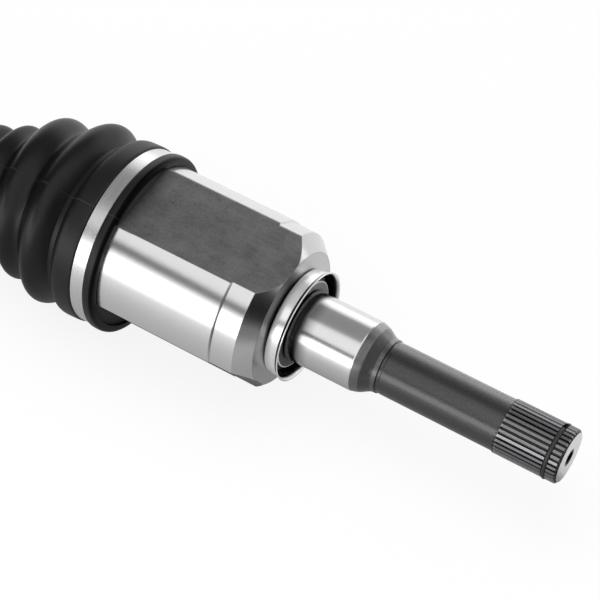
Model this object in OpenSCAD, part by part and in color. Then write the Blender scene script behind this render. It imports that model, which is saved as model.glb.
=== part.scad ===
// Front-wheel-drive CV axle shaft: tripod plunging joint inboard, six-ball joint outboard.
// Millimetres. +X runs along the shaft towards the inboard splined stub, +Z is up, and the
// origin is the middle of the ground seal journal on the inboard stub.

/* [Inboard stub] */
// Length of the ground journal, from the boss face to its chamfer
journal_len = 35; // [25:1:45]
// Radius of the ground journal
journal_r = 17.75; // [16.5:0.25:19]
// Length of the forged cone between the journal and the neck
shoulder_len = 11.7; // [9:0.1:16]
// Radius of the plain neck
neck_r = 13; // [12.6:0.1:13.4]
// Length of the plain neck, from the cone to the splines
neck_len = 62.3; // [40:1:80]
// Length of the splined end, chamfer included
stub_spline_len = 31; // [24:1:40]
// Outer radius of the stub splines
stub_spline_r = 13.5; // [13.4:0.1:14.5]
// Number of stub spline teeth
stub_teeth = 33; // [24:1:36]
// Distance from the end face to the middle of the retaining ring groove
stub_ring_inset = 6.5; // [4:0.5:12]
// Radius of the retaining ring's wire
stub_ring_wire_r = 1; // [0.7:0.05:1.1]

/* [Inboard housing] */
// Outer radius of the three machined lobes
housing_r = 42; // [41.5:0.25:43]
// Depth of a hollow forged flat at its middle, below the lobes' circle
flat_depth = 8.6; // [7.6:0.1:9.5]
// Radius of the hollow of a forged flat
flat_hollow_r = 80; // [70:1:140]
// Length of the lobes, from the open mouth to the end cone
lobe_len = 92; // [90:0.5:96]
// Axial length of the machined end cone
end_cone_len = 7; // [4:0.2:8]
// Radius at the small edge of the end cone
end_cone_r = 34.3; // [33:0.1:36]
// Distance from the boss face back to the edge of the end cone
nose_len = 6.5; // [6:0.1:8]
// Radius of the boss that the dust shield is pressed on
shield_seat_r = 24; // [23.5:0.1:24.6]
// Radius of the boss ahead of the dust shield
boss_r = 22.4; // [20:0.1:23]
// Distance from the end of the lobes to the step where the smaller turned band begins
front_step_inset = 12.1; // [9:0.1:15]
// Height of that step
front_step = 0.9; // [0.6:0.1:1.2]

/* [Tripod joint] */
// Distance from the open mouth to the tripod's middle at rest
tripod_depth = 26; // [24:0.5:29]
// Depth of the roller tracks from the open mouth
track_depth = 75; // [73:0.5:77]
// Radius on which the roller middles lie
roller_pitch_r = 25; // [24.5:0.1:25.5]
// Outer radius of a roller
roller_r = 17; // [16.5:0.1:17.2]
// Width of a roller along its trunnion
roller_w = 11; // [9:0.5:11.5]
// Clearance between a roller and its track, for the tripod's swing
track_gap = 0.95; // [0.9:0.05:1.2]
// Radius of the outer end of the tracks
track_floor_r = 37; // [36.6:0.1:37.6]
// Radius of the bore between the tracks
track_bore_r = 24; // [23:0.25:25]
// Radius of the bore's flare at the open mouth
mouth_flare_r = 30; // [29.5:0.1:30.5]
// Length of the flare
mouth_flare_len = 30; // [25:1:32]
// Radius of a trunnion
trunnion_r = 9.5; // [8.5:0.1:10]
// Radius of a needle roller
needle_r = 1.25; // [1:0.05:1.5]
// Radius of the tripod's hub
hub_r = 17.5; // [16.5:0.1:18]
// Length of the tripod's hub
hub_len = 22; // [18:0.5:24]

/* [Bar] */
// Distance between the middles of the two joints
joint_spacing = 313; // [290:1:420]
// Radius of the bar
bar_r = 13; // [12:0.1:13.2]
// Radius of the bar's splined seats in the tripod
tripod_seat_r = 13; // [12.4:0.1:13.2]
// Radius of the bar's splined seat in the inner race
race_seat_r = 12.5; // [11:0.1:13]
// Radius of the bar under the small ends of the boots
boot_seat_r = 14; // [13.5:0.1:15]
// Clearance of a splined or pressed seat
seat_gap = 0.02; // [0.01:0.01:0.05]

/* [Ball joint] */
// Radius on which the ball middles lie
ball_pitch_r = 31; // [30.8:0.05:31.2]
// Radius of a ball
ball_r = 8.75; // [8.5:0.05:8.9]
// Offset of the track centres from the joint's middle
track_offset = 3.5; // [3:0.1:4]
// Clearance between a ball and its tracks, for the balls' travel along the cage
ball_track_gap = 0.95; // [0.9:0.05:1.1]
// Radius of the inner race's ball-shaped outside
inner_race_r = 28.8; // [28.4:0.05:29]
// Width of the inner race
inner_race_w = 24; // [20:0.5:25]
// Thickness of the cage
cage_wall = 6.6; // [5:0.1:6.8]
// Width of the cage
cage_w = 25; // [23:0.5:26]
// Clearance between the cage and each race
cage_gap = 0.1; // [0.08:0.01:0.15]
// Clearance between a ball and the sides of its window
window_gap = 0.02; // [0.02:0.01:0.1]
// Half length of a cage window around the joint
window_half_len = 10.2; // [9.2:0.1:10.8]

/* [Outboard housing] */
// Outer radius of the bell
bell_r = 45; // [44.5:0.25:46]
// Distance from the joint's middle to the bell's open mouth
bell_mouth = 18; // [16:0.5:18.5]
// Depth of the bell's cavity behind the joint's middle
bell_cavity_depth = 30; // [28:0.5:32]
// Radius of the bell's mouth opening
bell_mouth_r = 33.5; // [33.2:0.1:34]
// Distance from the joint's middle to the hub shoulder
hub_shoulder = 46; // [44:0.5:52]
// Radius of the hub shoulder
hub_shoulder_r = 27; // [24:0.5:29]
// Radius of the pilot next to the hub shoulder
pilot_r = 16; // [15.6:0.1:17]
// Length of the pilot
pilot_len = 8; // [5:0.5:12]
// Outer radius of the outboard splines
hub_spline_r = 15.3; // [14.5:0.1:15.5]
// Length of the outboard splines
hub_spline_len = 40; // [30:1:50]
// Number of outboard spline teeth
hub_teeth = 28; // [24:1:32]
// Radius of the threaded end
thread_r = 12; // [10:0.5:13]
// Length of the threaded end
thread_len = 24; // [18:1:32]

/* [Boots] */
// Wall of the boots
boot_wall = 2.4; // [2:0.1:2.8]
// Thickness of the inboard boot's collar over the lobes, at its lips
collar_t = 4.4; // [4.2:0.1:5]
// Length of the inboard boot's collar over the lobes, from the open mouth
collar_grip = 17; // [16:0.5:20]
// Length of the inboard boot's collar behind the open mouth
collar_overhang = 8; // [7:0.5:9]
// Depth of the boot insert's face behind the collar's front lip
insert_recess = 1.6; // [1.4:0.1:3]
// Depth of the clamp groove in a collar
clamp_groove = 2; // [1.2:0.1:2.2]
// Width of the large clamp bands
clamp_w = 6.9; // [6:0.1:8]
// Distance from the front of a collar to its clamp band
clamp_inset = 5.9; // [5:0.1:6.5]
// Thickness of the clamp bands
clamp_t = 1.1; // [0.8:0.1:1.4]
// Width of the small clamp bands
small_clamp_w = 6; // [5:0.5:7]
// Radius of the small ends of the boots under their clamps
small_end_r = 16.6; // [16.4:0.1:17.5]
// Length of a small end
small_end_len = 13; // [11:0.5:16]
// Distance from the inboard boot's collar to the joint end of its small end
inboard_boot_len = 93; // [90:1:98]
// Distance from the outboard boot's collar to the joint end of its small end
outboard_boot_len = 72; // [68:1:78]

/* [Hidden] */
$fn = 96;

// Directions round the axis, from +Y towards +Z
lobe_angles = [270, 30, 150];
flat_angles = [90, 210, 330];
ball_angles = [90, 30, 330, 270, 210, 150];
clamp_ear_angle = -12;

// Stations along the axis
journal_end = journal_len / 2;
boss_face = -journal_len / 2;
neck_start = journal_end + shoulder_len;
spline_start = neck_start + neck_len;
stub_end = spline_start + stub_spline_len;
cone_edge = boss_face - nose_len;
lobe_end = cone_edge - end_cone_len;
mouth = lobe_end - lobe_len;
tripod_x = mouth + tripod_depth;
ball_x = tripod_x - joint_spacing;
eps = 0.01;

// Small turned details
edge = 0.8;
neck_groove_depth = 0.7;
neck_groove_w = 1.4;
spline_depth = 1;
stub_chamfer = 1.2;
centre_drill_r = 1.8;
centre_drill_depth = 7;
ring_groove_depth = 1.9;
ring_side_gap = 0.15;

// Turns a profile of [radius, station] points round the X axis
module turned(points) {
    rotate([0, 90, 0]) rotate_extrude() polygon(points);
}

// Cylinder along X from station a to station b
module rod(r, a, b) {
    translate([a, 0, 0]) rotate([0, 90, 0]) cylinder(r = r, h = b - a);
}

// Tube along X from station a to station b
module tube(outer, inner, a, b) {
    difference() {
        rod(outer, a, b);
        rod(inner, a - 1, b + 1);
    }
}

// Puts children on the trunnion that points to the given angle, with Z along the trunnion
module on_trunnion(angle) {
    translate([tripod_x, 0, 0]) rotate([angle - 90, 0, 0]) children();
}

// Splined rod along X: straight-sided teeth between the root and the outer radius
module splines(r, teeth, a, b, chamfer) {
    step = 360 / teeth;
    root = r - spline_depth;
    outline = [
        for (i = [0 : teeth - 1], p = [[root, 0.04], [root, 0.3], [r, 0.42], [r, 0.92]])
            [p[0] * cos((i + p[1]) * step), p[0] * sin((i + p[1]) * step)]
    ];
    intersection() {
        translate([a, 0, 0]) rotate([0, 90, 0]) linear_extrude(b - a) polygon(outline);
        turned([
            [0, a], [r + 1, a], [r + 1, b - chamfer - 1], [r - chamfer, b], [0, b]
        ]);
    }
}

// Open retaining ring of round wire, with its gap at the given angle
module wire_ring(x, middle_r, wire_r, gap_angle, gap) {
    difference() {
        translate([x, 0, 0]) rotate([0, 90, 0])
            rotate_extrude() translate([middle_r, 0]) circle(r = wire_r, $fn = 32);
        rotate([gap_angle, 0, 0])
            translate([x - 3, 0, -gap / 2]) cube([6, middle_r + 4, gap]);
    }
}

// Flat open retaining ring along X
module flat_ring(outer, inner, a, b, gap) {
    difference() {
        tube(outer, inner, a, b);
        translate([a - 1, 0, -gap / 2]) cube([b - a + 2, outer + 1, gap]);
    }
}

// Clamp band round X with a crimped ear, from station a, inner radius r
module clamp_band(r, a, w) {
    ear_h = 4.2;
    ear_w = 8.5;
    foot = 1.5;
    rotate([clamp_ear_angle, 0, 0]) translate([a, 0, 0]) rotate([90, 0, 90]) linear_extrude(w)
        union() {
            difference() {
                circle(r = r + clamp_t);
                circle(r = r);
            }
            difference() {
                union() {
                    translate([r + clamp_t / 2, -ear_w / 2]) square([ear_h - foot, ear_w]);
                    translate([r + clamp_t / 2, -ear_w / 2 + foot]) square([ear_h, ear_w - 2 * foot]);
                    for (side = [-1, 1])
                        translate([r + clamp_t / 2 + ear_h - foot, side * (ear_w / 2 - foot)])
                            circle(r = foot, $fn = 32);
                }
                circle(r = r + clamp_t / 2);
                translate([r + clamp_t, -ear_w / 2 + clamp_t])
                    square([ear_h - clamp_t * 1.6, ear_w - 2 * clamp_t]);
            }
        }
}

// Inboard housing

// Outside of the stub, boss, nose and lobes, as turned
function housing_profile() = [
    [0, mouth], [housing_r - edge, mouth], [housing_r, mouth + edge],
    [housing_r, lobe_end - front_step_inset - front_step / 4],
    [housing_r - front_step, lobe_end - front_step_inset],
    [housing_r - front_step, lobe_end], [end_cone_r, cone_edge],
    [shield_seat_r + 4.5, cone_edge + 0.5], [shield_seat_r + 1.8, cone_edge + 0.9],
    [shield_seat_r, cone_edge + 1.2], [shield_seat_r, boss_face - 2.2],
    [boss_r, boss_face - 2.2], [boss_r, boss_face - edge / 2], [boss_r - edge / 2, boss_face],
    [journal_r, boss_face], [journal_r, journal_end - edge / 2],
    for (share = shoulder_shares) shoulder_point(share),
    [neck_r + 0.5, neck_start - 0.6],
    [neck_r + 0.5 - neck_groove_depth, neck_start - 0.4],
    [neck_r + 0.5 - neck_groove_depth, neck_start - 0.4 + neck_groove_w],
    [neck_r, neck_start + neck_groove_w],
    [neck_r, spline_start - 0.5], [stub_spline_r - spline_depth, spline_start],
    [stub_spline_r - spline_depth, stub_end - stub_chamfer / 2],
    [stub_spline_r - spline_depth - stub_chamfer / 2, stub_end], [0, stub_end]
];

// Forged shoulder that falls from the journal to the neck: round at first, then hollow.
// Shares of its length and of its drop
shoulder_shares = [
    [0, 0.05], [0.043, 0.07], [0.128, 0.13], [0.214, 0.2], [0.3, 0.294], [0.385, 0.41],
    [0.47, 0.553], [0.556, 0.694], [0.641, 0.824], [0.726, 0.93], [0.778, 0.965], [0.812, 0.98]
];
function shoulder_point(share) = [
    mix(journal_r, neck_r + 0.5, share[1]), journal_end + shoulder_len * share[0]
];

module roller_tracks() {
    for (angle = lobe_angles)
        intersection() {
            rotate([angle, 0, 0]) translate([mouth - 1, roller_pitch_r, 0])
                rotate([0, 90, 0]) cylinder(r = roller_r + track_gap, h = track_depth + 1);
            rod(track_floor_r, mouth - 2, mouth + track_depth + 1);
        }
}

module inboard_housing() {
    ring_x = stub_end - stub_ring_inset;
    ring_half = stub_ring_wire_r + ring_side_gap;
    color([0.62, 0.62, 0.63]) difference() {
        union() {
            turned(housing_profile());
            splines(stub_spline_r, stub_teeth, spline_start - 1.5, stub_end, stub_chamfer);
        }
        for (angle = flat_angles)
            rotate([angle, 0, 0]) translate([mouth - 1, housing_r - flat_depth + flat_hollow_r, 0])
                rotate([0, 90, 0]) cylinder(r = flat_hollow_r, h = lobe_len + 12, $fn = 240);
        roller_tracks();
        rod(track_bore_r, mouth - 1, mouth + track_depth);
        translate([mouth - eps, 0, 0]) rotate([0, 90, 0])
            cylinder(r1 = mouth_flare_r, r2 = track_bore_r - 1, h = mouth_flare_len);
        tube(stub_spline_r + 2, stub_spline_r - ring_groove_depth, ring_x - ring_half, ring_x + ring_half);
        rod(centre_drill_r, stub_end - centre_drill_depth, stub_end + 1);
        translate([stub_end - centre_drill_r, 0, 0]) rotate([0, 90, 0])
            cylinder(r1 = centre_drill_r, r2 = 2 * centre_drill_r + 1, h = centre_drill_r + 1);
    }
}

// Pressed dust shield: seat, web, wall and curled lip
module dust_shield() {
    seat = shield_seat_r + seat_gap;
    back = cone_edge + 1.4;
    front = boss_face + 3;
    t = 1;
    color([0.80, 0.80, 0.82]) turned([
        [seat, back + 1.8], [seat, back + t], [seat + 0.3, back + t / 3], [seat + t, back],
        [seat + 1.9, back], [seat + 2.4, back + 0.3], [seat + 2.7, back + t],
        [seat + 3, front - 1.9], [seat + 3.3, front - 1.1], [seat + 4.1, front - 0.4],
        [seat + 4.1, front], [seat + 3.7, front], [seat + 2.9, front - 0.6],
        [seat + 2.3, front - 1.6], [seat + 2, back + 2.2], [seat + 1.8, back + 1.2],
        [seat + t, back + t], [seat + t, back + 1.8]
    ]);
}

module stub_ring() {
    color([0.12, 0.12, 0.12])
        wire_ring(stub_end - stub_ring_inset, stub_spline_r - stub_ring_wire_r + 0.35,
            stub_ring_wire_r, 60, 5);
}

// Boot insert and inboard boot

collar_lip_r = housing_r + collar_t;
collar_front = mouth + collar_grip;
collar_back = mouth - collar_overhang;
insert_gap = 0.1;
insert_front = collar_front - insert_recess;
collar_inner_r = housing_r + 1.5;
clamp_x = collar_front - clamp_inset - clamp_w;

// Flexible ring that fills the three flats under the round collar
module boot_insert() {
    a = mouth + 1;
    b = insert_front;
    color([0.10, 0.10, 0.10]) difference() {
        rod(collar_inner_r - insert_gap, a, b);
        difference() {
            rod(housing_r + insert_gap, a - 1, b + 1);
            for (angle = flat_angles)
                rotate([angle, 0, 0])
                    translate([a - 2, housing_r - flat_depth + flat_hollow_r + insert_gap, 0])
                        rotate([0, 90, 0]) cylinder(r = flat_hollow_r, h = b - a + 4, $fn = 240);
        }
    }
}

// Half a turn of a rounded convolution: peak at 0 and 1, valley at 0.5
function wave(t) = 0.5 + 0.5 * cos(360 * t);
function mix(a, b, t) = a + (b - a) * t;

// Radius of a convoluted boot at fraction s of its length, from its collar
function boot_r(s, folds, peak_a, peak_b, valley_a, valley_b) =
    mix(mix(valley_a, valley_b, s), mix(peak_a, peak_b, pow(s, 1.4)), pow(wave(s * folds - 0.5), 0.8));

inboard_folds = 4;
inboard_peaks = [collar_lip_r + 2.6, 20];
inboard_valleys = [collar_lip_r - 4.9, small_end_r + 0.4];
boot_steps = 12;
first_valley_gap = 3.5;

function inboard_wall(s) = boot_r(s, inboard_folds, inboard_peaks[0], inboard_peaks[1],
    inboard_valleys[0], inboard_valleys[1]);

module inboard_boot() {
    start = collar_back - first_valley_gap;
    stop = mouth - inboard_boot_len;
    n = inboard_folds * boot_steps;
    end = stop - small_end_len;
    groove_a = stop - (small_end_len - small_clamp_w) / 2;
    groove_r = collar_lip_r - clamp_groove;
    outer = [for (i = [0 : n]) [inboard_wall(i / n), mix(start, stop, i / n)]];
    inner = [for (i = [n : -1 : 0])
        [max(inboard_wall(i / n) - boot_wall, boot_seat_r + 0.1), mix(start, stop, i / n)]];
    color([0.06, 0.06, 0.06]) turned(concat(
        [
            [collar_inner_r, insert_front + 0.2], [housing_r + 0.15, insert_front + 0.7],
            [housing_r + 0.15, collar_front], [collar_lip_r - 1.4, collar_front],
            [collar_lip_r - 0.5, collar_front - 0.6], [collar_lip_r, collar_front - 2],
            [collar_lip_r, clamp_x + clamp_w + 0.1], [groove_r, clamp_x + clamp_w + 0.1],
            [groove_r, clamp_x - 0.1], [collar_lip_r, clamp_x - 0.1],
            [collar_lip_r, collar_back + 5], [collar_lip_r - 0.9, collar_back + 1.8],
            [collar_lip_r - 2.4, collar_back - 1]
        ],
        outer,
        [
            [small_end_r, stop - 1], [small_end_r + 1, groove_a + 0.6], [small_end_r + 1, groove_a + 0.1],
            [small_end_r, groove_a + 0.1], [small_end_r, groove_a - small_clamp_w - 0.1],
            [small_end_r + 1, groove_a - small_clamp_w - 0.1], [small_end_r + 1, end + 1],
            [small_end_r, end], [boot_seat_r + 0.1, end]
        ],
        inner,
        [[collar_inner_r - 1, mouth - 4], [collar_inner_r - 1, mouth - 0.5], [collar_inner_r, mouth - 0.5]]
    ));
}

module inboard_clamp_large() {
    color([0.80, 0.80, 0.81]) clamp_band(collar_lip_r - clamp_groove + seat_gap, clamp_x, clamp_w);
}

module inboard_clamp_small() {
    a = mouth - inboard_boot_len - (small_end_len - small_clamp_w) / 2 - small_clamp_w;
    color([0.80, 0.80, 0.81]) clamp_band(small_end_r + seat_gap, a, small_clamp_w);
}

// Tripod

ring_t = 1.2;
washer_t = 0.8;
roller_outer_face = roller_pitch_r + roller_w / 2;
washer_at = roller_outer_face + 0.15;
ring_at = washer_at + washer_t + 0.05;
trunnion_ring_r = trunnion_r - 0.9;
trunnion_tip = ring_at + ring_t + 1.3;

module spider() {
    color([0.55, 0.55, 0.56]) difference() {
        union() {
            rod(hub_r, tripod_x - hub_len / 2, tripod_x + hub_len / 2);
            for (angle = lobe_angles) on_trunnion(angle) {
                cylinder(r = trunnion_r, h = trunnion_tip - edge);
                cylinder(r = trunnion_r + 1, h = roller_pitch_r - roller_w / 2 - 0.2);
                translate([0, 0, trunnion_tip - edge])
                    cylinder(r1 = trunnion_r, r2 = trunnion_r - edge, h = edge);
            }
        }
        rod(tripod_seat_r + seat_gap, tripod_x - hub_len, tripod_x + hub_len);
        for (angle = lobe_angles) on_trunnion(angle) difference() {
            translate([0, 0, ring_at - 0.05]) cylinder(r = trunnion_r + 1, h = ring_t + 0.1);
            cylinder(r = trunnion_ring_r, h = trunnion_tip);
        }
    }
}

// The two rings that hold the tripod on the bar
module spider_rings() {
    color([0.25, 0.25, 0.26]) for (side = [-1, 1])
        translate([tripod_x + side * (hub_len / 2 + 0.9), 0, 0])
            flat_ring(tripod_seat_r + 1.8, tripod_seat_r - 1, -0.7, 0.7, 3);
}

module roller(angle) {
    bore = trunnion_r + 2 * needle_r + 2 * seat_gap;
    color([0.66, 0.66, 0.67]) on_trunnion(angle) translate([0, 0, roller_pitch_r]) difference() {
        intersection() {
            sphere(r = roller_r);
            cylinder(r = roller_r + 1, h = roller_w, center = true);
        }
        cylinder(r = bore, h = roller_w + 2, center = true);
    }
}

module needles(angle) {
    pitch = trunnion_r + needle_r + seat_gap;
    count = floor(180 / asin((needle_r + 0.03) / pitch));
    color([0.75, 0.75, 0.76]) on_trunnion(angle)
        for (i = [0 : count - 1]) rotate([0, 0, i * 360 / count])
            translate([pitch, 0, roller_pitch_r - roller_w / 2 + 0.1])
                cylinder(r = needle_r, h = roller_w - 0.2, $fn = 24);
}

module roller_1() { roller(lobe_angles[0]); }
module roller_2() { roller(lobe_angles[1]); }
module roller_3() { roller(lobe_angles[2]); }
module needles_1() { needles(lobe_angles[0]); }
module needles_2() { needles(lobe_angles[1]); }
module needles_3() { needles(lobe_angles[2]); }

module roller_washers() {
    color([0.6, 0.6, 0.6]) for (angle = lobe_angles) on_trunnion(angle)
        translate([0, 0, washer_at]) difference() {
            cylinder(r = trunnion_r + 2 * needle_r + 1, h = washer_t);
            translate([0, 0, -1]) cylinder(r = trunnion_r + 0.05, h = washer_t + 2);
        }
}

module roller_rings() {
    color([0.25, 0.25, 0.26]) for (angle = lobe_angles) on_trunnion(angle)
        translate([0, 0, ring_at]) difference() {
            cylinder(r = trunnion_r + 1.6, h = ring_t);
            translate([0, 0, -1]) cylinder(r = trunnion_ring_r + 0.02, h = ring_t + 2);
            translate([0, -1.5, -1]) cube([trunnion_r + 3, 3, ring_t + 2]);
        }
}

// Bar

module axle_bar() {
    end_a = tripod_x + hub_len / 2 + 4;
    end_b = ball_x - inner_race_w / 2 - 4;
    small_a = mouth - inboard_boot_len;
    small_b = bell_lip_x() + outboard_boot_len;
    color([0.10, 0.10, 0.11]) difference() {
        turned([
            [0, end_b], [race_seat_r - 1, end_b], [race_seat_r, end_b + 1],
            [race_seat_r, ball_x + inner_race_w / 2 + 1],
            [race_seat_r + 0.5, ball_x + inner_race_w / 2 + 1], [bar_r, ball_x + inner_race_w / 2 + 3],
            [bar_r, small_b - 3], [boot_seat_r, small_b - 1],
            [boot_seat_r, small_b + small_end_len + 1], [bar_r, small_b + small_end_len + 3],
            [bar_r, small_a - small_end_len - 3], [boot_seat_r, small_a - small_end_len - 1],
            [boot_seat_r, small_a + 1], [bar_r, small_a + 3],
            [bar_r, tripod_x - hub_len / 2 - 6], [tripod_seat_r - 0.8, tripod_x - hub_len / 2 - 5],
            [tripod_seat_r - 0.8, tripod_x - hub_len / 2 - 3], [tripod_seat_r, tripod_x - hub_len / 2 - 2.4],
            [tripod_seat_r, end_a - 1], [tripod_seat_r - 1, end_a], [0, end_a]
        ]);
        for (side = [-1, 1])
            tube(tripod_seat_r + 1, tripod_seat_r - 1.1,
                tripod_x + side * (hub_len / 2 + 0.9) - 0.8, tripod_x + side * (hub_len / 2 + 0.9) + 0.8);
        tube(race_seat_r + 1, race_seat_r - 1.1,
            ball_x - inner_race_w / 2 - 1.7, ball_x - inner_race_w / 2 - 0.1);
    }
}

// Ball joint

track_r = sqrt(ball_pitch_r * ball_pitch_r + track_offset * track_offset);
cage_inner_r = inner_race_r + cage_gap;
cage_outer_r = cage_inner_r + cage_wall;
bell_cavity_r = cage_outer_r + cage_gap;

// The six grooves that the balls run in, as rings cut from tori about the offset centre
module ball_tracks(centre, reach) {
    groove_r = ball_r + ball_track_gap;
    half = track_r + 1.5 * groove_r;
    for (angle = [30, 90, 150]) rotate([angle, 0, 0]) intersection() {
        translate([centre, 0, 0])
            rotate_extrude() translate([track_r, 0]) circle(r = groove_r, $fn = 48);
        translate([-reach, -half, -1.5 * groove_r]) cube([2 * reach, 2 * half, 3 * groove_r]);
    }
}

module inner_race() {
    color([0.6, 0.6, 0.61]) translate([ball_x, 0, 0]) difference() {
        intersection() {
            sphere(r = inner_race_r);
            rod(inner_race_r + 1, -inner_race_w / 2, inner_race_w / 2);
        }
        rod(race_seat_r + seat_gap, -inner_race_w, inner_race_w);
        ball_tracks(-track_offset, inner_race_w / 2 + 2);
    }
}

module inner_race_ring() {
    a = ball_x - inner_race_w / 2 - 1.6;
    color([0.25, 0.25, 0.26]) flat_ring(race_seat_r + 1.8, race_seat_r - 1, a, a + 1.4, 3);
}

// Rounded window outline, long way round the joint
module window_outline() {
    half_w = ball_r + window_gap;
    corner = 3;
    square([2 * half_w, 2 * (window_half_len - corner)], center = true);
    square([2 * (half_w - corner), 2 * window_half_len], center = true);
    for (a = [-1, 1], b = [-1, 1])
        translate([a * (half_w - corner), b * (window_half_len - corner)])
            circle(r = corner, $fn = 32);
}

module cage() {
    color([0.5, 0.5, 0.5]) translate([ball_x, 0, 0]) difference() {
        intersection() {
            sphere(r = cage_outer_r);
            rod(cage_outer_r + 1, -cage_w / 2, cage_w / 2);
        }
        sphere(r = cage_inner_r);
        for (angle = ball_angles) rotate([angle - 90, 0, 0])
            linear_extrude(cage_outer_r + 5) window_outline();
    }
}

module ball(index) {
    color([0.85, 0.85, 0.86]) translate([ball_x, 0, 0]) rotate([ball_angles[index - 1], 0, 0])
        translate([0, ball_pitch_r, 0]) sphere(r = ball_r);
}

module ball_1() { ball(1); }
module ball_2() { ball(2); }
module ball_3() { ball(3); }
module ball_4() { ball(4); }
module ball_5() { ball(5); }
module ball_6() { ball(6); }

// Outboard housing

function bell_lip_x() = ball_x + bell_mouth;
function outboard_clamp_x() = bell_lip_x() - bell_clamp_inset - clamp_w;
bell_clamp_inset = 4.2;
bell_groove = 1.5;

module outer_race() {
    shoulder_x = ball_x - hub_shoulder;
    spline_x = shoulder_x - pilot_len;
    thread_x = spline_x - hub_spline_len;
    end_x = thread_x - thread_len;
    color([0.45, 0.45, 0.46]) difference() {
        union() {
            intersection() {
                translate([ball_x, 0, 0]) sphere(r = bell_r);
                rod(bell_r + 1, shoulder_x + 3, ball_x - 2);
            }
            rod(bell_r, ball_x - 4, ball_x + 3);
            rod(bell_r - bell_groove, ball_x + 2, bell_lip_x());
            turned([
                [0, end_x], [thread_r - 1.5, end_x], [thread_r, end_x + 1.5],
                [thread_r, thread_x - 1], [thread_r - 1, thread_x - 1], [thread_r - 1, thread_x + 1],
                [hub_spline_r - spline_depth, thread_x + 2.4],
                [hub_spline_r - spline_depth, spline_x], [pilot_r, spline_x], [pilot_r, shoulder_x],
                [hub_shoulder_r - edge, shoulder_x], [hub_shoulder_r, shoulder_x + edge],
                [hub_shoulder_r, shoulder_x + 5], [hub_shoulder_r + 3, shoulder_x + 9],
                [hub_shoulder_r + 3, shoulder_x + 14], [0, shoulder_x + 14]
            ]);
            mirror([1, 0, 0]) splines(hub_spline_r, hub_teeth, -spline_x - 1, -thread_x - 1, 1.2);
        }
        // The sphere's poles lie on the shaft's axis, clear of the ball tracks
        translate([ball_x, 0, 0]) intersection() {
            rotate([30, 0, 0]) rotate([0, 90, 0]) sphere(r = bell_cavity_r);
            rod(bell_cavity_r + 1, -bell_cavity_depth, bell_mouth);
        }
        rod(bell_mouth_r, ball_x + 8, bell_lip_x() + 1);
        translate([ball_x, 0, 0]) ball_tracks(track_offset, bell_mouth + track_offset + 0.5);
        rod(centre_drill_r, end_x - 1, end_x + centre_drill_depth);
    }
}

// Outboard boot

outboard_collar_r = bell_r - bell_groove + boot_wall;
outboard_folds = 5;
outboard_peaks = [outboard_collar_r + 2.9, 20.5];
outboard_valleys = [outboard_collar_r - 4.9, small_end_r + 0.4];

function outboard_wall(s) = boot_r(s, outboard_folds, outboard_peaks[0], outboard_peaks[1],
    outboard_valleys[0], outboard_valleys[1]);

module outboard_boot() {
    seat = bell_r - bell_groove + 0.1;
    lip = bell_lip_x();
    back = ball_x + 3.2;
    start = lip + 3;
    clamp_a = outboard_clamp_x();
    stop = lip + outboard_boot_len;
    end = stop + small_end_len;
    n = outboard_folds * boot_steps;
    groove_a = stop + (small_end_len - small_clamp_w) / 2;
    outer = [for (i = [0 : n]) [outboard_wall(i / n), mix(start, stop, i / n)]];
    inner = [for (i = [n : -1 : 0])
        [max(outboard_wall(i / n) - boot_wall, boot_seat_r + 0.1), mix(start, stop, i / n)]];
    color([0.06, 0.06, 0.06]) turned(concat(
        [
            [seat, back], [outboard_collar_r, back], [outboard_collar_r, clamp_a - 0.1],
            [outboard_collar_r - 0.7, clamp_a - 0.1], [outboard_collar_r - 0.7, clamp_a + clamp_w + 0.1],
            [outboard_collar_r, clamp_a + clamp_w + 0.1], [outboard_collar_r, lip]
        ],
        outer,
        [
            [small_end_r, stop + 1], [small_end_r + 1, groove_a - 0.6], [small_end_r + 1, groove_a - 0.1],
            [small_end_r, groove_a - 0.1], [small_end_r, groove_a + small_clamp_w + 0.1],
            [small_end_r + 1, groove_a + small_clamp_w + 0.1], [small_end_r + 1, end - 1],
            [small_end_r, end], [boot_seat_r + 0.1, end]
        ],
        inner,
        [[seat - 4, lip + 0.5], [seat, lip + 0.5]]
    ));
}

module outboard_clamp_large() {
    color([0.80, 0.80, 0.81])
        clamp_band(outboard_collar_r - 0.7 + seat_gap, outboard_clamp_x(), clamp_w);
}

module outboard_clamp_small() {
    a = bell_lip_x() + outboard_boot_len + (small_end_len - small_clamp_w) / 2;
    color([0.80, 0.80, 0.81]) clamp_band(small_end_r + seat_gap, a, small_clamp_w);
}

inboard_housing();
dust_shield();
stub_ring();
boot_insert();
inboard_boot();
inboard_clamp_large();
inboard_clamp_small();
spider();
spider_rings();
roller_1();
roller_2();
roller_3();
needles_1();
needles_2();
needles_3();
roller_washers();
roller_rings();
axle_bar();
inner_race();
inner_race_ring();
cage();
ball_1();
ball_2();
ball_3();
ball_4();
ball_5();
ball_6();
outer_race();
outboard_boot();
outboard_clamp_large();
outboard_clamp_small();
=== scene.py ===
"""CV axle shaft: finishes, boots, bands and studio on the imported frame. Laid out as an add-on, run as a script."""

import math

import bpy
import numpy as np
from bpy.props import FloatProperty, FloatVectorProperty, IntProperty, PointerProperty
from bpy.types import Operator, Panel, PropertyGroup
from mathutils import Matrix, Vector


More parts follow.
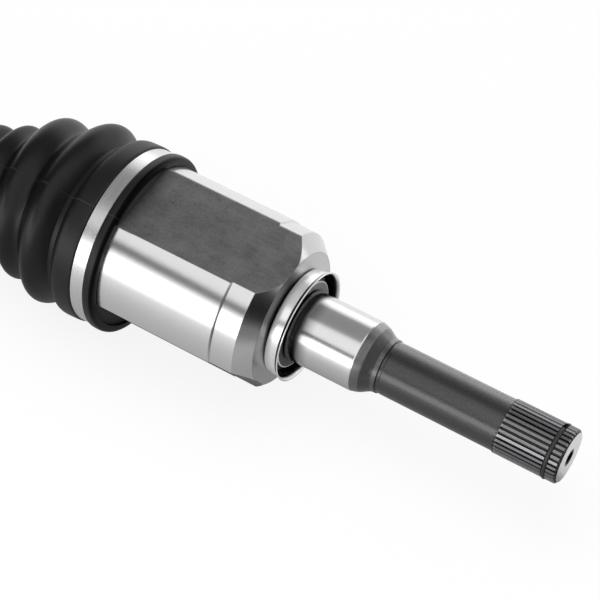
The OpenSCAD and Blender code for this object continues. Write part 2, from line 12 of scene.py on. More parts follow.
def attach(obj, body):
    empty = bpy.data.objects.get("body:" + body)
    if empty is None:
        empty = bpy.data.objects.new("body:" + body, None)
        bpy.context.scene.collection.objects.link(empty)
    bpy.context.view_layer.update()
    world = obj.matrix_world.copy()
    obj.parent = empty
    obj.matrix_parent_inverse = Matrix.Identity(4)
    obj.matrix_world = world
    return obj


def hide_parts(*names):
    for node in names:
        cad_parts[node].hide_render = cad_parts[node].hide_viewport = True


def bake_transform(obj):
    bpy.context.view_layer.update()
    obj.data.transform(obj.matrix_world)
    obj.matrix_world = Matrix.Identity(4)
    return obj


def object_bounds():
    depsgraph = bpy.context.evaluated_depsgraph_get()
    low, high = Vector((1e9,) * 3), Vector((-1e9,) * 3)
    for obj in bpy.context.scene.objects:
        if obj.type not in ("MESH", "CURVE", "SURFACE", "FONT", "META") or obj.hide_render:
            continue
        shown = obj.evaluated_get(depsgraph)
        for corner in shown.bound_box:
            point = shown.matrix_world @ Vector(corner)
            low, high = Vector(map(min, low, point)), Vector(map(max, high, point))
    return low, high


bl_info = {
    "name": "CV axle shaft",
    "version": (1, 0, 0),
    "blender": (4, 5, 0),
    "location": "3D View > Sidebar > Axle",
    "description": "Dresses the frame of a CV axle shaft with its boots, bands and finishes",
    "category": "Object",
}

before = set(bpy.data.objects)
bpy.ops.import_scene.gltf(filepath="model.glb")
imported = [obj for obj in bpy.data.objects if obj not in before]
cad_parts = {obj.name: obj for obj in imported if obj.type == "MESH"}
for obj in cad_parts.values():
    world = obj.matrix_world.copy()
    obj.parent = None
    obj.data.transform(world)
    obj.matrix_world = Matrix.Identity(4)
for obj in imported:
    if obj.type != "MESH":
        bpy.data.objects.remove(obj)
CAD_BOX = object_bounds()
MM = 0.001

# Stations along the shaft and radii, in millimetres, mostly as in the part's source. The inboard boot is two
# pieces that meet at SLIDE_SEAM, and the bell keeps its forged skin between its two BELL_SKIN stations
BOOT_START = -135.0
BOOT_STOP = -216.0
BOOT_END = -229.0
INNER_FOLDS = 4
SLIDE_SEAM = -161.0
LOBE_R = 42.0
STEP = -43.1
STEP_R = 41.1
LOBE_END = -31.0
CONE_EDGE = -24.0
CONE_EDGE_R = 34.3
COLLAR_R = 46.4
BELL_COLLAR_R = 45.9
OUTER_START = -389.0
OUTER_STOP = -320.0
OUTER_END = -307.0
OUTER_FOLDS = 5
SMALL_END_R = 16.6
BAR_SEAT_R = 14.0
JOURNAL_END = 17.6
UPPER_END = 21.5
HOLLOW_END = 26.4
NECK_START = 29.0
NECK_END = 91.2
STUB_END = 122.4
BELL_SKIN_START = -409.2
BELL_SKIN_END = -452.2
HUB_SPLINE = (-504.5, -464.2)
HUB_THREAD = (-529.0, -505.0)
THREAD_PITCH = 1.5

# Direction round the shaft that faces the camera, in degrees from +Y towards +Z
SEEN_WAY = 123.0

# The camera of the photo: its place in metres, its axes as columns (right, up and back) and its lens
CAMERA_AT = (0.30414, -0.51536, 0.80603)
CAMERA_AXES = ((0.84687, -0.42103, 0.32487), (0.53180, 0.67048, -0.51735), (0.0, 0.61089, 0.79171))
CAMERA_LENS = 129.54
SENSOR_WIDTH = 36.0


class BootSizes(PropertyGroup):
    """Sizes of the two rubber boots that the frame leaves free."""

    droop: FloatProperty(
        name="Droop", description="How far the third fold of the inboard boot hangs off the shaft's axis",
        default=0.0058, min=0.0, max=0.007, unit="LENGTH",
    )
    droop_way: FloatProperty(
        name="Droop direction", description="Where the boot hangs to, from +Y towards +Z",
        default=math.radians(213.0), subtype="ANGLE",
    )
    wall: FloatProperty(
        name="Wall", description="Thickness of the rubber",
        default=0.0019, min=0.0015, max=0.003, unit="LENGTH",
    )
    round_steps: IntProperty(
        name="Steps round", description="Faces round a boot", default=160, min=48, max=256,
    )
    fold_steps: IntProperty(
        name="Steps along", description="Faces along each fold", default=22, min=8, max=40,
    )
    mould_line: FloatProperty(
        name="Mould line", description="Direction of the parting line, from +Y towards +Z",
        default=math.radians(116.0), subtype="ANGLE",
    )


class SteelColours(PropertyGroup):
    """Colours of the steel surfaces."""

    lobes: FloatVectorProperty(
        name="Machined lobes", description="Turned steel of the lobes and journal", subtype="COLOR",
        size=3, min=0, max=1, default=(0.78, 0.78, 0.785),
    )
    forging: FloatVectorProperty(
        name="Forged flats", description="Dark skin of the forging", subtype="COLOR",
        size=3, min=0, max=1, default=(0.098, 0.098, 0.1),
    )
    neck: FloatVectorProperty(
        name="Neck", description="Dark satin steel of the neck and cone", subtype="COLOR",
        size=3, min=0, max=1, default=(0.06, 0.06, 0.062),
    )
    plating: FloatVectorProperty(
        name="Plating", description="Pressed and plated steel", subtype="COLOR",
        size=3, min=0, max=1, default=(0.93, 0.93, 0.935),
    )
    bearing: FloatVectorProperty(
        name="Bearing steel", description="Ground bearing steel inside the joints", subtype="COLOR",
        size=3, min=0, max=1, default=(0.6, 0.6, 0.61),
    )


class DarkColours(PropertyGroup):
    """Colours of the rubber and the black parts."""

    rubber: FloatVectorProperty(
        name="Rubber", description="Moulded boot rubber", subtype="COLOR",
        size=3, min=0, max=1, default=(0.0045, 0.0045, 0.0047),
    )
    paint: FloatVectorProperty(
        name="Bar paint", description="Black paint of the bar", subtype="COLOR",
        size=3, min=0, max=1, default=(0.03, 0.03, 0.032),
    )
    spring: FloatVectorProperty(
        name="Spring steel", description="Oxidised retaining rings", subtype="COLOR",
        size=3, min=0, max=1, default=(0.035, 0.035, 0.037),
    )


class StudioSettings(PropertyGroup):
    """Light, floor and dark cards of the studio."""

    front_power: FloatProperty(
        name="Front lamp", description="Power of the long front softbox", default=4.8, min=0, unit="POWER",
    )
    top_power: FloatProperty(
        name="Top lamp", description="Power of the large overhead softbox", default=16.0, min=0, unit="POWER",
    )
    ambient: FloatProperty(
        name="Ambient", description="Strength of the world on matt surfaces",
        default=0.62, min=0, max=1, subtype="FACTOR",
    )
    floor: FloatVectorProperty(
        name="Floor", description="Colour of the paper floor", subtype="COLOR",
        size=3, min=0, max=1, default=(0.86, 0.86, 0.86),
    )
    card: FloatProperty(
        name="Card overhead", description="Grey of the card over the shaft that the metal mirrors",
        default=0.29, min=0, max=1, subtype="FACTOR",
    )


class Wire:
    """A number that leaves a node. Python's signs on wires add Math nodes, also as 1 - mask."""

    def __init__(self, tree, socket):
        self.tree, self.socket = tree, socket

    def math(self, operation, *others):
        return math_node(self.tree, operation, self, *others)

    def __add__(self, other):
        return self.math("ADD", other)

    def __sub__(self, other):
        return self.math("SUBTRACT", other)

    def __rsub__(self, other):
        return math_node(self.tree, "SUBTRACT", other, self)

    def __mul__(self, other):
        return self.math("MULTIPLY", other)

    def __truediv__(self, other):
        return self.math("DIVIDE", other)

    def __pow__(self, other):
        return self.math("POWER", other)

    def __neg__(self):
        return self.math("MULTIPLY", -1.0)

    def __abs__(self):
        return self.math("ABSOLUTE")

    __radd__ = __add__
    __rmul__ = __mul__


def plug(tree, port, value):
    """Links a wire or socket to a port, or sets the port's own value."""
    if isinstance(value, Wire):
        value = value.socket
    if isinstance(value, bpy.types.NodeSocket):
        tree.links.new(value, port)
    elif value is not None:
        if port.type == "RGBA" and len(value) == 3:
            value = (*value, 1.0)
        port.default_value = value


def math_node(tree, operation, *parts):
    """A Math node on wires or numbers, in that order."""
    made = tree.nodes.new("ShaderNodeMath")
    made.operation = operation
    for port, part in zip(made.inputs, parts):
        plug(tree, port, part)
    return Wire(tree, made.outputs[0])


class Finish:
    """The node tree of one material or of the world, built up by calls."""

    def __init__(self, owner):
        owner.use_nodes = True
        self.tree = owner.node_tree
        self.tree.nodes.clear()

    def node(self, kind, settings=None, sockets=None):
        """A node of that kind: its settings and stops come first, then the values or links of its sockets."""
        made = self.tree.nodes.new("ShaderNode" + kind)
        for name, value in (settings or {}).items():
            if name == "stops":
                ramp = made.color_ramp.elements
                while len(ramp) < len(value):
                    ramp.new(0.5)
                for stop, (place, grey) in zip(ramp, value):
                    stop.position, stop.color = place, (grey, grey, grey, 1.0)
            else:
                setattr(made, name, value)
        for name, value in (sockets or {}).items():
            plug(self.tree, made.inputs[name], value)
        return made

    def wire(self, kind, settings=None, sockets=None, out=0):
        return Wire(self.tree, self.node(kind, settings, sockets).outputs[out])

    def spot(self):
        """Object coordinates in metres, for the noises."""
        return self.node("TexCoord").outputs["Object"]

    def place(self, spot):
        """Object coordinates in millimetres: x, y, z, and the distance from the shaft's axis."""
        parts = self.node("SeparateXYZ", sockets={0: spot})
        x, y, z = (Wire(self.tree, parts.outputs[i]) * (1 / MM) for i in range(3))
        return x, y, z, (y * y + z * z).math("SQRT")

    def rise(self, value, low, high):
        """Smooth step of a number, from 0 at low to 1 at high."""
        return self.wire("MapRange", {"interpolation_type": "SMOOTHSTEP"},
                         {"Value": value, "From Min": low, "From Max": high, "To Min": 0.0, "To Max": 1.0})

    def between(self, value, low, high, soft):
        """1 where a number lies between low and high, with soft borders."""
        return self.rise(value, low - soft, low + soft) * (1 - self.rise(value, high - soft, high + soft))

    def stretched(self, spot, scale):
        return self.node("Mapping", None, {"Vector": spot, "Scale": scale}).outputs[0]

    def brushed(self, spot, share):
        """Coordinates for marks that run round the shaft: y and z count for that share of x."""
        return self.stretched(spot, (1.0, share, share))

    def noise(self, where, scale, detail=4.0, rough=0.55):
        return self.wire("TexNoise", None, {"Vector": where, "Scale": scale, "Detail": detail, "Roughness": rough})

    def mix(self, factor, first, second):
        """Colour that goes from first to second as factor goes from 0 to 1."""
        return self.node("Mix", {"data_type": "RGBA"}, {0: factor, 6: first, 7: second}).outputs[2]

    def shade(self, colour, factor):
        """A colour made darker or lighter by a grey factor."""
        grey = self.node("CombineColor", None, {0: factor, 1: factor, 2: factor}).outputs[0]
        kind = {"data_type": "RGBA", "blend_type": "MULTIPLY"}
        return self.node("Mix", kind, {0: 1.0, 6: colour, 7: grey}).outputs[2]

    def bump(self, height, distance, strength=1.0):
        return self.node("Bump", None, {"Height": height, "Distance": distance, "Strength": strength}).outputs[0]

    def end(self, **sockets):
        names = {"colour": "Base Color", "rough": "Roughness", "metal": "Metallic", "normal": "Normal",
                 "coat": "Coat Weight", "coat_rough": "Coat Roughness", "specular": "Specular IOR Level"}
        surface = self.node("BsdfPrincipled", None, {names[k]: v for k, v in sockets.items()})
        self.node("OutputMaterial", None, {0: surface.outputs[0]})


def times(factor, colour):
    """A fixed colour made darker or lighter."""
    return tuple(factor * c for c in colour)


def new_material(name, colour):
    """An empty material under that name, with its plain colour for the viewport, and its tree to fill."""
    material = bpy.data.materials.new(name)
    material.diffuse_color = (*colour, 1.0)
    return material, Finish(material)


def rubber(name, colour, mould_line):
    """Moulded rubber: satin black with a faint grain, dust specks and a raised parting line. The folds are painted
    darker than the collar as painted shade, and the lip at the collar's mouth mirrors like metal."""
    material, f = new_material(name, colour)
    spot = f.spot()
    x, y, z, _ = f.place(spot)
    cloud = f.noise(spot, 38.0, 3.0)
    grain = f.noise(spot, 2600.0, 2.0)
    specks = f.rise(f.noise(spot, 900.0, 1.0), 0.775, 0.8)
    off = y * math.sin(mould_line) - z * math.cos(mould_line)
    above = f.rise(y * math.cos(mould_line) + z * math.sin(mould_line), 0.0, 4.0)
    line = (1 - f.rise(abs(off), 0.08, 0.26)) * above
    tone = f.mix(specks * 0.6 + line * 0.5, f.shade(colour, 0.75 + cloud * 0.5), times(12.0, colour))
    lip = f.between(x, -107.8, -105.0, 0.5)
    # Painted shade: the folds' colour is darkened to 0.4 of the collar's
    fold = 1 - f.rise(x, BOOT_START - 4.0, BOOT_START + 3.0)
    tone = f.shade(tone, 1 - fold * 0.6)
    f.end(colour=tone, rough=0.34 + cloud * 0.14 - line * 0.06 - fold * 0.05, specular=0.33, metal=lip,
          normal=f.bump(grain * 0.12 + cloud * 0.4 + line * 1.2, 0.0002))
    return material


def turned_steel(f, spot, base):
    """Shared look of turned steel: fine rings round the shaft and soft tone changes. Gives tone and ring height."""
    drift = f.noise(f.brushed(spot, 0.35), 30.0, 3.0)
    fine = f.noise(f.brushed(spot, 0.004), 4680.0, 3.0, 0.7)
    return f.shade(base, 0.93 + drift * 0.08 + fine * 0.07), fine


def housing_steel(steel):
    """The forging with its stub: machined lobes, cone, nose and journal, dark flats, satin neck, splines. Masks are
    1 in their zone. Several paint light and shade into the colour by the direction way: they darken or lighten it as
    soft dark surroundings and lamps would."""
    material, f = new_material("forged_steel", steel.lobes)
    spot = f.spot()
    x, y, z, r = f.place(spot)

    # Where the forged skin is left: below the radius that was turned, as far as the end cone's edge
    slope = (x - LOBE_END) * ((STEP_R - CONE_EDGE_R) / (CONE_EDGE - LOBE_END))
    turned_r = LOBE_R - slope.math("MAXIMUM", 0.0) - f.rise(x, STEP - 0.25, STEP) * (LOBE_R - STEP_R)
    skin = (1 - f.rise(r - turned_r, -0.42, -0.16)) * (1 - f.rise(x, CONE_EDGE - 0.2, CONE_EDGE + 0.1))

    # Direction round the shaft in degrees, cut on the side away from the camera
    c, s = math.cos(math.radians(SEEN_WAY)), math.sin(math.radians(SEEN_WAY))
    way = (z * c - y * s).math("ARCTAN2", y * c + z * s) * (180 / math.pi) + SEEN_WAY

    # Machined zones: nose, end cone, step and root of the journal, darkened by painted shade: the nose and end cone
    # a little all round and most where the way faces the camera, the step only on that side, and the journal's root
    # next to the shield, less on the far side
    bright, rings = turned_steel(f, spot, steel.lobes)
    front = f.between(x, CONE_EDGE - 0.05, CONE_EDGE + 1.5, 0.06) * f.rise(r, 24.1, 24.3) * (1 - skin)
    facing = f.between(way, 83.0, 147.0, 12.0)
    nose = front * (0.38 + f.rise(way, 135.0, 150.0) * 0.1 - f.rise(way, 160.0, 190.0) * 0.28 + facing * 0.5)
    taper_shade = f.between(x, LOBE_END - 0.1, CONE_EDGE, 0.1) * (1 - skin)
    taper_shade = taper_shade * (0.17 + f.between(way, 100.0, 145.0, 7.0) * 0.53)
    step = f.between(x, STEP - 0.65, STEP + 0.3, 0.15) * f.between(way, 118.0, 166.0, 14.0) * 0.66
    root = f.rise(x, -14.6, -13.2) * (1 - f.rise(x, -14.0, -4.0)) * (0.2 + f.rise(way, 65.0, 90.0) * 0.65)
    # Painted shade: these four masks darken the turned steel
    bright = f.shade(bright, (1 - nose) * (1 - taper_shade) * (1 - step) * (1 - root))

    # Forged skin: mottled scale, grit, dark pores, faint marks along and one across the shaft
    mottle = f.noise(spot, 95.0, 6.0, 0.62)
    scale_marks = f.noise(f.stretched(spot, (0.22, 1.0, 1.0)), 380.0, 5.0, 0.7)
    pores = f.rise(f.noise(f.stretched(spot, (0.4, 1.0, 1.0)), 1300.0, 2.0), 0.62, 0.72)
    streaks = f.noise(f.stretched(spot, (0.06, 1.0, 1.0)), 120.0, 3.0)
    seam = f.between(x, -52.2, -51.4, 0.25)
    grit = f.noise(spot, 1500.0, 2.0)
    marks = mottle * 1.15 + scale_marks * 0.68 + streaks * 0.3 + seam * 0.12 - pores * 0.45 + (grit - 0.5) * 0.9
    forged = f.shade(steel.forging, marks)

    # Stub: shoulder in three parts, groove, neck, splines and end face with its hole
    cone = f.between(x, JOURNAL_END, NECK_START, 0.12)
    upper = f.between(x, JOURNAL_END, UPPER_END, 0.25)
    hollow = f.between(x, UPPER_END, HOLLOW_END, 0.25)
    bead = f.between(x, HOLLOW_END + 0.1, NECK_START - 0.5, 0.2)
    groove = f.between(x, NECK_START - 0.55, NECK_START + 0.15, 0.15)
    neck = f.between(x, NECK_START, NECK_END, 0.15)
    face = f.rise(x, STUB_END - 0.05, STUB_END + 0.05)
    spline = f.rise(x, NECK_END - 0.3, NECK_END + 0.4) * (1 - face)
    hole = f.rise(x, 112.0, 113.0) * (1 - f.rise(r, 4.2, 4.7))
    long_streaks = f.noise(f.stretched(spot, (0.05, 1.0, 1.0)), 420.0, 4.0, 0.6)
    # Painted light and shade by the way: the top lighter, the lower front lighter under a darker band, and the
    # hollow darker where it faces the camera. The bead and the upper shoulder are also lighter all round
    above = f.between(way, 25.0, 88.0, 10.0)
    below = f.rise(way, 155.0, 175.0) * 0.5 - f.between(way, 130.0, 155.0, 8.0) * 0.5
    light_and_tone = (1.0 + above * 1.3 + bead * (0.8 + above * 0.5) + upper * (1.1 + above * 1.4 + below)
              - hollow * (0.05 + f.between(way, 95.0, 152.0, 10.0) * 0.62))
    dark = f.shade(steel.neck, (0.3 + long_streaks * 0.45 + grit * 1.05) * light_and_tone)
    # Painted light and shade on the splines: the tooth tips lighter, the roots darker
    teeth = f.mix(f.rise(r, 12.55, 13.4), times(0.8, steel.neck), times(4.3, steel.neck))

    # Boss inside the dust shield: painted shadow on it and on the journal's start within it, lighter on the boss's
    # outer face, but for a bright ring at its edge, left out of the shadow and made matt as a painted highlight
    boss = f.between(x, CONE_EDGE - 0.2, -17.0, 0.2)
    ring = f.rise(r, 21.65, 21.8) * f.between(x, -18.0, -17.0, 0.05)
    shadow = f.between(x, -22.95, -16.8, 0.12) * (1 - f.rise(r, 24.3, 24.5)) * f.rise(r, 17.5, 17.7) * (1 - ring)
    rim = f.rise(x, -17.65, -17.55) * f.rise(r, 18.4, 19.4)

    tone = f.mix(skin, bright, forged)
    tone = f.mix(cone.math("MAXIMUM", neck), tone, dark)
    tone = f.mix(spline, tone, teeth)
    tone = f.mix(face, tone, times(0.8, steel.lobes))
    tone = f.mix(shadow, tone, f.shade((0.045, 0.045, 0.045), 0.1 + rim))
    # Painted shade: the groove at the neck's start and the inside of the end face's hole are near black
    tone = f.mix((groove * 0.8).math("MAXIMUM", hole), tone, (0.004, 0.004, 0.004))
    rough = 0.2 + boss * 0.08 + skin * (0.34 + mottle * 0.12)
    rough = rough + cone * 0.26 + neck * 0.2 + spline * 0.16 + face * 0.15
    height = rings * 0.05 + skin * (mottle * 1.2 + scale_marks * 0.8)
    height = height + (neck + cone) * (grit * 0.5 + long_streaks * 0.1)
    f.end(colour=tone, rough=rough, metal=1.0 - skin * 0.62 - ring * 0.95, coat=(neck + cone) * 0.9,
          coat_rough=0.22, normal=f.bump(height, 0.00012))
    return material


def plated_steel(steel):
    """Pressed sheet steel with a bright plating: soft drawing marks and few dull spots. Its inner side and the
    crease behind its curled lip are painted dark as shade, the crease darkened twice as much on the -y side."""
    material, f = new_material("plated_steel", steel.plating)
    spot = f.spot()
    x, y, _, r = f.place(spot)
    cloud = f.noise(spot, 120.0, 4.0)
    marks = f.noise(f.brushed(spot, 0.02), 1500.0, 3.0)
    spots = f.rise(f.noise(spot, 700.0, 1.0), 0.72, 0.76)
    side = r - (x + 16.2).math("MAXIMUM", 0.0) * 1.3
    # Painted shade: the inner side near black, and the crease behind the lip darker, most on the -y side
    inside = (1 - f.rise(side, 26.33, 26.57)) * (1 - f.rise(r, 26.3, 27.2)) * f.rise(x, -21.95, -21.75)
    crease = f.between(x, -16.35, -14.95, 0.15) * f.rise(side, 25.9, 26.2) * (0.5 + f.rise(-y, -12.0, 0.0) * 0.5)
    tone = f.shade(steel.plating, (0.92 + cloud * 0.12 - spots * 0.2) * (1 - inside * 0.985) * (1 - crease * 0.96))
    f.end(colour=tone, metal=0.75, rough=0.18 + cloud * 0.08, specular=0.2,
          normal=f.bump(marks * 0.12 + cloud * 0.3, 0.0001))
    return material


def clamp_steel(steel):
    """Brushed stainless band: brush marks run round the boot."""
    material, f = new_material("clamp_steel", steel.plating)
    spot = f.spot()
    brush = f.noise(f.brushed(spot, 0.012), 2600.0, 4.0, 0.7)
    cloud = f.noise(spot, 60.0, 2.0)
    f.end(colour=f.shade(times(0.84, steel.plating), 0.86 + brush * 0.12 + cloud * 0.06), metal=1.0,
          rough=0.22 + brush * 0.12, normal=f.bump(brush, 0.00005, 0.6))
    return material


def plain_steel(name, colour, rough, metal=1.0):
    """Ground or oxidised steel of the small inner parts: an even tone with a fine grain."""
    material, f = new_material(name, colour)
    spot = f.spot()
    cloud = f.noise(spot, 140.0, 4.0)
    fine = f.noise(spot, 900.0, 3.0)
    f.end(colour=f.shade(colour, 0.84 + cloud * 0.3), metal=metal, rough=rough + cloud * 0.12,
          normal=f.bump(fine * 0.15 + cloud * 0.2, 0.00008))
    return material


def race_steel(steel):
    """The outboard forging: scaled bell, machined band and shoulder, bright pilot, splines and thread."""
    material, f = new_material("outer_race_steel", steel.forging)
    spot = f.spot()
    x, _, _, r = f.place(spot)
    machined = f.rise(x, BELL_SKIN_START - 0.3, BELL_SKIN_START + 0.3)
    machined = machined.math("MAXIMUM", 1 - f.rise(x, BELL_SKIN_END - 0.2, BELL_SKIN_END + 0.3))
    mottle = f.noise(spot, 90.0, 6.0, 0.62)
    pores = f.rise(f.noise(spot, 850.0, 1.0), 0.70, 0.76)
    skin = f.shade(steel.forging, 0.62 + mottle * 0.8 - pores * 0.4)
    bright, rings = turned_steel(f, spot, times(0.8, steel.lobes))
    spline = f.between(x, *HUB_SPLINE, 0.2)
    # Painted light and shade on the splines: the tooth tips lighter, the roots darker
    teeth = f.mix(f.rise(r, 14.3, 15.2), times(0.8, steel.neck), times(4.5, steel.neck))
    thread = f.between(x, *HUB_THREAD, 0.2)
    # Painted light and shade on the thread: its tone runs dark to light and back across each pitch
    pitch = f.wire("TexWave", {"wave_type": "BANDS", "bands_direction": "X", "wave_profile": "TRI"},
                   {"Vector": spot, "Scale": 50.0 / THREAD_PITCH, "Distortion": 0.0})
    tone = f.mix(machined, skin, bright)
    tone = f.mix(spline, tone, teeth)
    tone = f.mix(thread, tone, f.mix(pitch, times(0.25, steel.lobes), times(0.75, steel.lobes)))
    f.end(colour=tone, metal=0.4 + machined * 0.6, rough=0.58 - machined * 0.32 + mottle * 0.08,
          normal=f.bump(rings * 0.04 + (1 - machined) * mottle * 1.6 + thread * pitch * 2.0, 0.00015))
    return material


def bar_paint(colour):
    """Thin black paint on the bar: orange peel and a slight wear towards its seats."""
    material, f = new_material("painted_bar", colour)
    spot = f.spot()
    peel = f.noise(spot, 520.0, 3.0)
    cloud = f.noise(spot, 45.0, 3.0)
    wear = f.rise(f.noise(spot, 260.0, 5.0), 0.66, 0.72)
    f.end(colour=f.mix(wear * 0.5, f.shade(colour, 0.7 + cloud * 0.6), (0.16, 0.16, 0.16)),
          rough=0.36 + cloud * 0.14 + wear * 0.1, normal=f.bump(peel * 0.8, 0.00012))
    return material


def smooth_node(name, material, angle=30.0):
    """Gives a CAD node its finish and smooth shading between its true edges."""
    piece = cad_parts[name]
    mesh = piece.data
    if mesh.has_custom_normals:
        with bpy.context.temp_override(object=piece, active_object=piece, selected_objects=[piece]):
            bpy.ops.mesh.customdata_custom_splitnormals_clear()
    mesh.materials.clear()
    mesh.materials.append(material)
    mesh.polygons.foreach_set("use_smooth", np.ones(len(mesh.polygons), bool))
    weld = piece.modifiers.new("weld", "WELD")
    weld.merge_threshold = 0.000002
    split = piece.modifiers.new("edges", "EDGE_SPLIT")
    split.split_angle = math.radians(angle)


def surface(name, grid, material, body=None, sharp=40.0):
    """A closed surface from an array of rows by columns by three, closed both ways. Row i and column j give the
    corner of a face with the next row and the next column; the order of rows makes the faces look outwards."""
    rows, columns = grid.shape[:2]
    at = np.arange(rows * columns).reshape(rows, columns)
    down, across = np.roll(at, -1, 0), np.roll(at, -1, 1)
    faces = np.stack([at, down, np.roll(down, -1, 1), across], -1).reshape(-1, 4)
    mesh = bpy.data.meshes.new(name)
    mesh.from_pydata(grid.reshape(-1, 3) * MM, [], faces)
    mesh.polygons.foreach_set("use_smooth", np.ones(len(faces), bool))
    mesh.set_sharp_from_angle(angle=math.radians(sharp))
    mesh.materials.append(material)
    piece = bpy.data.objects.new(name, mesh)
    bpy.context.scene.collection.objects.link(piece)
    if body:
        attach(piece, body)
    return piece


def softened(points):
    """Corner cutting on a closed outline: each of two passes puts two points on every side, at a quarter and three
    quarters of it, which tends to a smooth quadratic curve."""
    for _ in range(2):
        after = np.roll(points, -1, 0)
        points = np.stack([0.75 * points + 0.25 * after, 0.25 * points + 0.75 * after], 1).reshape(-1, 2)
    return points


def revolved(outline, steps, droop=0.0, way=0.0):
    """Turns an outline of (station, radius) round the shaft: x is the station, y and z are the radius times the
    cosine and sine of the angle. With a droop, rings from -140 to -216 mm hang towards the angle way: with d the
    distance past -140 and n = 76, their centres move by droop times d to the fourth times (1 - d / n) squared,
    scaled to 1 at d = 45, and each ring leans by half the slope of that curve. A sag of 0.07 droops reaches over
    the first valley: it comes in from -120 to -130 and goes out from -150 to -172."""
    angle = np.linspace(0, 2 * math.pi, steps, endpoint=False)
    x, radius = outline[:, :1], outline[:, 1:]
    begin, n, most = -140.0, 76.0, 45.0
    d = np.clip(begin - x, 0.0, n)
    scale = droop / (most ** 4 * (1 - most / n) ** 2)
    off = scale * d ** 4 * (1 - d / n) ** 2
    slope = scale * (4 * d ** 3 * (1 - d / n) ** 2 - 2 * d ** 4 * (1 - d / n) / n)
    off = off + 0.07 * droop * np.clip((-120.0 - x) / 10, 0, 1) * np.clip((172.0 + x) / 22, 0, 1)
    y = radius * np.cos(angle) + off * math.cos(way)
    z = radius * np.sin(angle) + off * math.sin(way)
    return np.stack([x + 0.5 * slope * radius * np.cos(angle - way), y, z], -1)


def folds(share, count, peaks, valleys, dip=0.0, late=0.0):
    """Radius of the folds at a share of their length: between a line of valleys and a curve of peaks (the share to
    the power 1.4), by half of one plus a cosine with one turn to a fold, raised to 0.8 for broader peaks. The first
    valley is deeper by dip, which fades with the square over a fifth of the length; the folds in the middle lie
    further along by late, a share of the length."""
    wave = (0.5 + 0.5 * np.cos(2 * math.pi * ((share - late * np.sin(math.pi * share)) * count - 0.5))) ** 0.8
    low = valleys[0] + (valleys[1] - valleys[0]) * share - dip * np.clip(1 - share * 5, 0, 1) ** 2
    high = peaks[0] + (peaks[1] - peaks[0]) * share ** 1.4
    return low + (high - low) * wave


def inboard_radius(x):
    share = np.clip((BOOT_START - x) / (BOOT_START - BOOT_STOP), 0, 1)
    peaks, valleys = (COLLAR_R + 2.55, 20.0), (COLLAR_R - 1.8, SMALL_END_R + 0.4)
    return folds(share, INNER_FOLDS, peaks, valleys, 5.2, 0.018)


def outboard_radius(x):
    share = np.clip((x - OUTER_START) / (OUTER_STOP - OUTER_START), 0, 1)
    peaks, valleys = (BELL_COLLAR_R + 2.9, 20.5), (BELL_COLLAR_R - 4.9, SMALL_END_R + 0.4)
    return folds(share, OUTER_FOLDS, peaks, valleys)


def piece_by_piece(*parts):
    """One outline from several lists of points."""
    return np.concatenate([np.asarray(p, float).reshape(-1, 2) for p in parts])


def with_radius(stations, radius, wall=0.0):
    """Outline points at those stations: the radius there less the wall, but never inside the bar's seat."""
    return np.stack([stations, np.maximum(radius(stations) - wall, BAR_SEAT_R + 0.1)], 1)


def small_end(start, stop, towards):
    """Outline of a boot's small end round its clamp groove, from the folds to the tip; towards is the sign of x."""
    band = 6.0
    inset = (stop - start) * towards / 2 - band / 2
    a, b = start + towards * inset, stop - towards * inset
    r, lip = SMALL_END_R, SMALL_END_R + 1.0
    return np.array([
        [start + towards, r], [a - 1.4 * towards, lip - 0.1], [a - 0.7 * towards, lip],
        [a - 0.12 * towards, lip - 0.2], [a - 0.1 * towards, r], [b + 0.1 * towards, r],
        [b + 0.12 * towards, lip - 0.2], [b + 0.7 * towards, lip], [stop - 0.9 * towards, lip - 0.1],
        [stop - 0.1 * towards, r - 0.1], [stop, r - 0.8], [stop, BAR_SEAT_R + 0.1],
    ])


